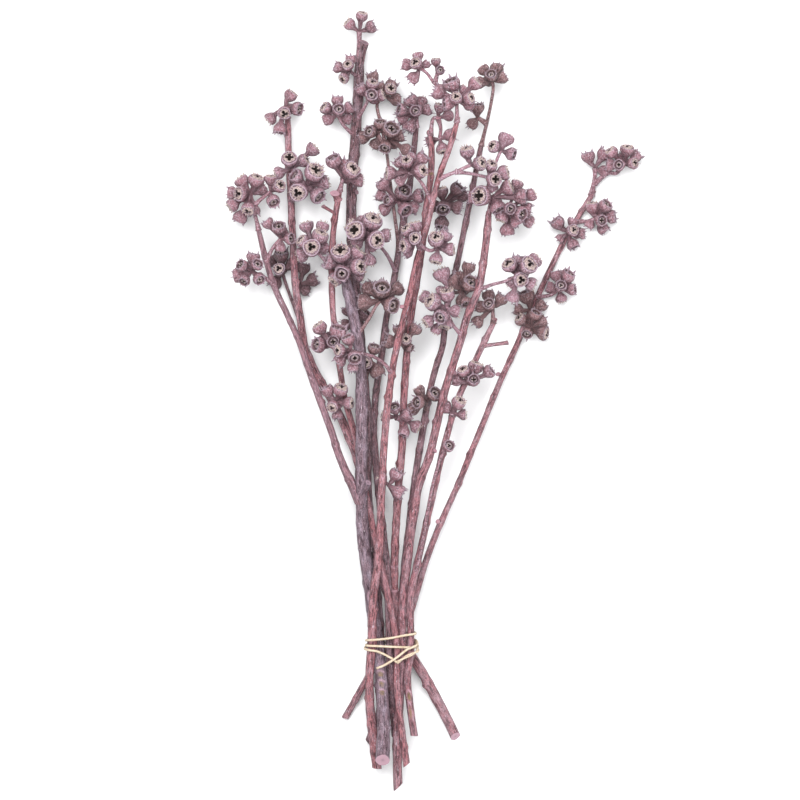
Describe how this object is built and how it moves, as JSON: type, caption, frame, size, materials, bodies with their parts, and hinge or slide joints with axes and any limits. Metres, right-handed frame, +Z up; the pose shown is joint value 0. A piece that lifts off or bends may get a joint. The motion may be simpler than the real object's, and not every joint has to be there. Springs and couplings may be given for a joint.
{
  "type": "tied bunch of preserved gumnut stems",
  "caption": "Tied bunch of dyed, preserved gumnut stems: woody stems fanning from a tie to heads of small bell-shaped seed capsules, lying down.",
  "frame": {"origin": "centre of the bunch's outer box, on the surface it lies on", "axes": "+Y from the cut ends towards the heads, +X to the right seen from above, +Z up from the surface"},
  "size_m": [0.241, 0.4498, 0.0745],
  "materials": {
    "bark_lilac": "dyed, dried bark, satin",
    "bark_dusk": "dyed, dried bark, satin",
    "bark_rose": "dyed, dried bark, satin",
    "bark_pink": "dyed, dried bark, satin",
    "tie": "cream twisted band, matt",
    "capsule_mauve": "dyed, dried seed capsule, satin",
    "capsule_brown": "dyed, dried seed capsule, satin",
    "capsule_pale": "dyed, dried seed capsule, satin",
    "capsule_dusk": "dyed, dried seed capsule, satin"
  },
  "bodies": {
    "root": {"stem_lilac": "bark_lilac", "stem_tall": "bark_dusk", "stem_front": "bark_rose", "stem_mid_right": "bark_pink", "stem_back_right": "bark_dusk", "stem_back_mid": "bark_dusk", "stem_mid": "bark_rose", "stem_far_right": "bark_pink", "stem_right": "bark_pink", "stem_left": "bark_pink", "stem_mid_left": "bark_rose", "tie": "tie", "spray_tall_top": "capsule_mauve", "spray_tall_left": "capsule_mauve", "spray_tall_right": "capsule_mauve", "spray_tall_lower": "capsule_mauve", "spray_thin_branch": "capsule_brown", "spray_left_tip": "capsule_mauve", "spray_left_big": "capsule_pale", "spray_mid_left_top": "capsule_mauve", "spray_far_left_top": "capsule_mauve", "spray_left_inner": "capsule_mauve", "spray_left_outer": "capsule_mauve", "spray_left_dark": "capsule_dusk", "spray_left_mid": "capsule_pale", "spray_centre_upper": "capsule_pale", "spray_centre_lower": "capsule_pale", "spray_left_behind": "capsule_dusk", "spray_centre_brown": "capsule_brown", "spray_centre_dark": "capsule_dusk", "spray_mid_left_low": "capsule_mauve", "spray_centre_front": "capsule_mauve", "spray_centre_low": "capsule_brown", "spray_mid_low": "capsule_brown", "spray_front_top": "capsule_mauve", "spray_right_back_tip": "capsule_brown", "spray_back_mid_tip": "capsule_mauve", "spray_mid_tip": "capsule_mauve", "spray_right_mid": "capsule_pale", "spray_right_tip": "capsule_mauve", "spray_upper_mid": "capsule_mauve", "spray_mid_dark": "capsule_mauve", "spray_mid_right_dark": "capsule_dusk", "spray_front_pair": "capsule_pale", "spray_right_centre": "capsule_pale", "spray_right_centre_back": "capsule_brown", "spray_right_stem_tip": "capsule_brown", "spray_right_cluster": "capsule_pale", "spray_far_right_low": "capsule_brown", "spray_far_right_mid": "capsule_mauve", "spray_far_right_upper": "capsule_mauve", "spray_far_right_side": "capsule_mauve", "spray_far_right_top": "capsule_mauve", "spray_right_pods": "capsule_mauve", "spray_back_right_pair": "capsule_brown", "spray_mid_pods": "capsule_mauve", "spray_right_low": "capsule_mauve", "spray_left_low": "capsule_mauve", "spray_lower_bells": "capsule_mauve", "spray_single_bell": "capsule_mauve"}
  },
  "joints": []
}
